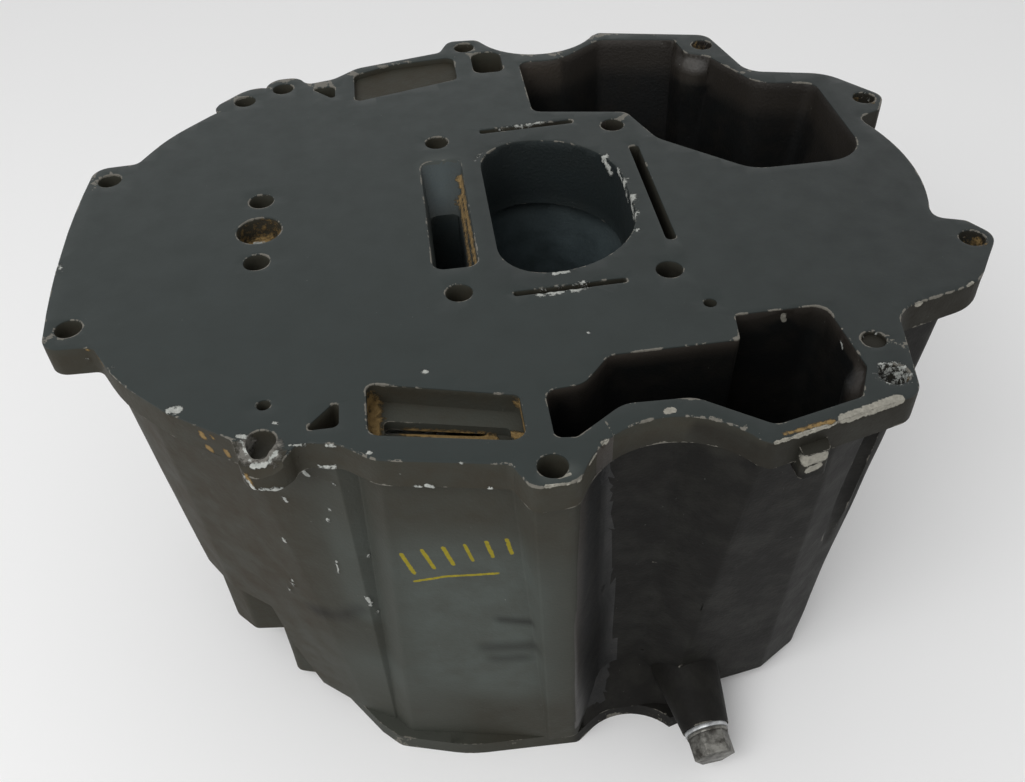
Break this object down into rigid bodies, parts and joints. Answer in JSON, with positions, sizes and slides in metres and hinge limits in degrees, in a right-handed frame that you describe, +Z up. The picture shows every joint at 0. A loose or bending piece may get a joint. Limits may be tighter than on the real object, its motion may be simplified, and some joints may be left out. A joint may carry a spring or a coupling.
{
  "type": "oil pan",
  "caption": "Cast engine oil pan: flat machined deck with bolt flange, oil wells, exhaust throat and pick-up joint over drafted walls, with a hexagon drain plug.",
  "frame": {"origin": "centre of the four exhaust joint bolt holes, on the machined deck face", "axes": "+Z up out of the deck along the bolt holes, +X along the casting's mirror line from the pick-up end towards the end with the pair of tail bolts, +Y towards the large oil well"},
  "size_m": [0.38, 0.3269, 0.221],
  "materials": {
    "cast_aluminium": "dark grey painted casting, worn to bare metal and white corrosion at the edges",
    "gasket_metal": "bright crushed washer",
    "plug_steel": "dull plated hexagon head"
  },
  "bodies": {
    "root": {"oil_pan": "cast_aluminium", "drain_gasket": "gasket_metal", "drain_plug": "plug_steel"}
  },
  "joints": []
}
